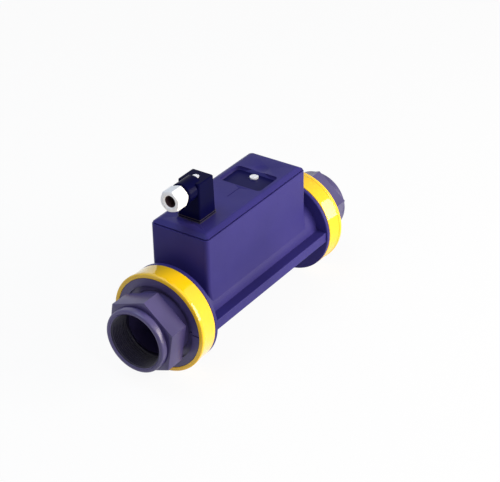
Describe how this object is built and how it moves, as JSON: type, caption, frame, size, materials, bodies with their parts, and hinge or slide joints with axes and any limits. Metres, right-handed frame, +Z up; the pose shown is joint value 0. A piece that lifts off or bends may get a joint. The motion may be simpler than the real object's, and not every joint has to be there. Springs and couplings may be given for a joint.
{
  "type": "turbine flow meter",
  "caption": "Inline turbine flow meter with union ends, threaded hexagonal fittings, box housing on top and a square cable plug with gland.",
  "frame": {"origin": "centre of the inlet mouth, on the pipe axis", "axes": "+X along the flow to the outlet, +Z up through the electronics housing, +Y to the left of the flow"},
  "size_m": [0.336, 0.1082, 0.1891],
  "materials": {
    "body_plastic": "satin deep indigo moulded plastic",
    "union_plastic": "glossy yellow moulded plastic",
    "plug_plastic": "glossy blue-black plastic",
    "gland_plastic": "pale grey plastic",
    "rubber": "black rubber",
    "gasket_grey": "grey rubber",
    "steel": "bright steel",
    "contact_metal": "tinned brass",
    "magnet": "plated magnet",
    "bush_ceramic": "pale bearing material",
    "rotor_plastic": "natural moulded plastic",
    "cartridge_plastic": "dark grey moulded plastic",
    "board": "green board",
    "component_black": "black component bodies"
  },
  "bodies": {
    "meter": {"meter_body": "body_plastic", "housing_lid": "body_plastic", "inlet_fitting": "body_plastic", "outlet_fitting": "body_plastic", "inlet_o_ring": "rubber", "outlet_o_ring": "rubber", "cover_gasket": "rubber", "base_gasket": "gasket_grey", "connector_base": "plug_plastic", "contact_blades": "contact_metal", "base_screws": "steel", "inlet_straightener": "cartridge_plastic", "outlet_straightener": "cartridge_plastic", "front_bearing_bush": "bush_ceramic", "rear_bearing_bush": "bush_ceramic", "retaining_rings": "steel", "pickup_sensor": "cartridge_plastic", "circuit_board": "board", "board_screws": "steel", "board_components": "component_black", "jumper_header": "component_black"},
    "rotor": {"turbine_rotor": "rotor_plastic", "rotor_magnets": "magnet", "rotor_shaft": "steel"},
    "inlet_slide": {"inlet_split_ring": "body_plastic"},
    "inlet_ring": {"inlet_union_ring": "union_plastic"},
    "outlet_slide": {"outlet_split_ring": "body_plastic"},
    "outlet_ring": {"outlet_union_ring": "union_plastic"},
    "plug": {"plug_housing": "plug_plastic", "contact_carrier": "plug_plastic", "terminal_screws": "contact_metal", "plug_gasket": "rubber", "cable_grommet": "rubber"},
    "plug_fastener": {"plug_screw": "steel"},
    "gland_slide": {"gland_washer": "gland_plastic"},
    "gland": {"gland_nut": "gland_plastic"},
    "cover": {"settings_cover": "body_plastic"},
    "cover_fastener": {"cover_screw": "steel"}
  },
  "joints": [
    {"name": "rotor_spin", "type": "hinge", "parent": "meter", "child": "rotor", "pos_m": [0.168, 0, 0], "axis": [1, 0, 0], "continuous": true},
    {"name": "inlet_union_travel", "type": "slide", "parent": "meter", "child": "inlet_slide", "axis": [-1, 0, 0], "range_m": [0, 0.00631]},
    {"name": "inlet_union_turn", "type": "hinge", "parent": "inlet_slide", "child": "inlet_ring", "pos_m": [0.05, 0, 0], "axis": [-1, 0, 0], "range_deg": [0, 540]},
    {"name": "outlet_union_travel", "type": "slide", "parent": "meter", "child": "outlet_slide", "axis": [1, 0, 0], "range_m": [0, 0.00631]},
    {"name": "outlet_union_turn", "type": "hinge", "parent": "outlet_slide", "child": "outlet_ring", "pos_m": [0.286, 0, 0], "axis": [1, 0, 0], "range_deg": [0, 540]},
    {"name": "plug_lift", "type": "slide", "parent": "meter", "child": "plug", "axis": [0, 0, 1], "range_m": [0, 0.03]},
    {"name": "plug_screw_turn", "type": "hinge", "parent": "plug", "child": "plug_fastener", "pos_m": [0.1108, 0.0008, 0.1304], "axis": [0, 0, 1], "continuous": true},
    {"name": "gland_travel", "type": "slide", "parent": "plug", "child": "gland_slide", "axis": [-1, 0, 0], "range_m": [0, 0.00601]},
    {"name": "gland_turn", "type": "hinge", "parent": "gland_slide", "child": "gland", "pos_m": [0.08, 0.0008, 0.1233], "axis": [-1, 0, 0], "range_deg": [0, 1440]},
    {"name": "cover_lift", "type": "slide", "parent": "meter", "child": "cover", "axis": [0, 0, 1], "range_m": [0, 0.012]},
    {"name": "cover_screw_turn", "type": "hinge", "parent": "cover", "child": "cover_fastener", "pos_m": [0.21, 0, 0.0863], "axis": [0, 0, 1], "continuous": true}
  ],
  "couplings": [
    {"joint": "inlet_union_travel", "follows": "inlet_union_turn", "m_per_rad": 0.00066845},
    {"joint": "outlet_union_travel", "follows": "outlet_union_turn", "m_per_rad": 0.00066845},
    {"joint": "gland_travel", "follows": "gland_turn", "m_per_rad": 0.00023873}
  ]
}
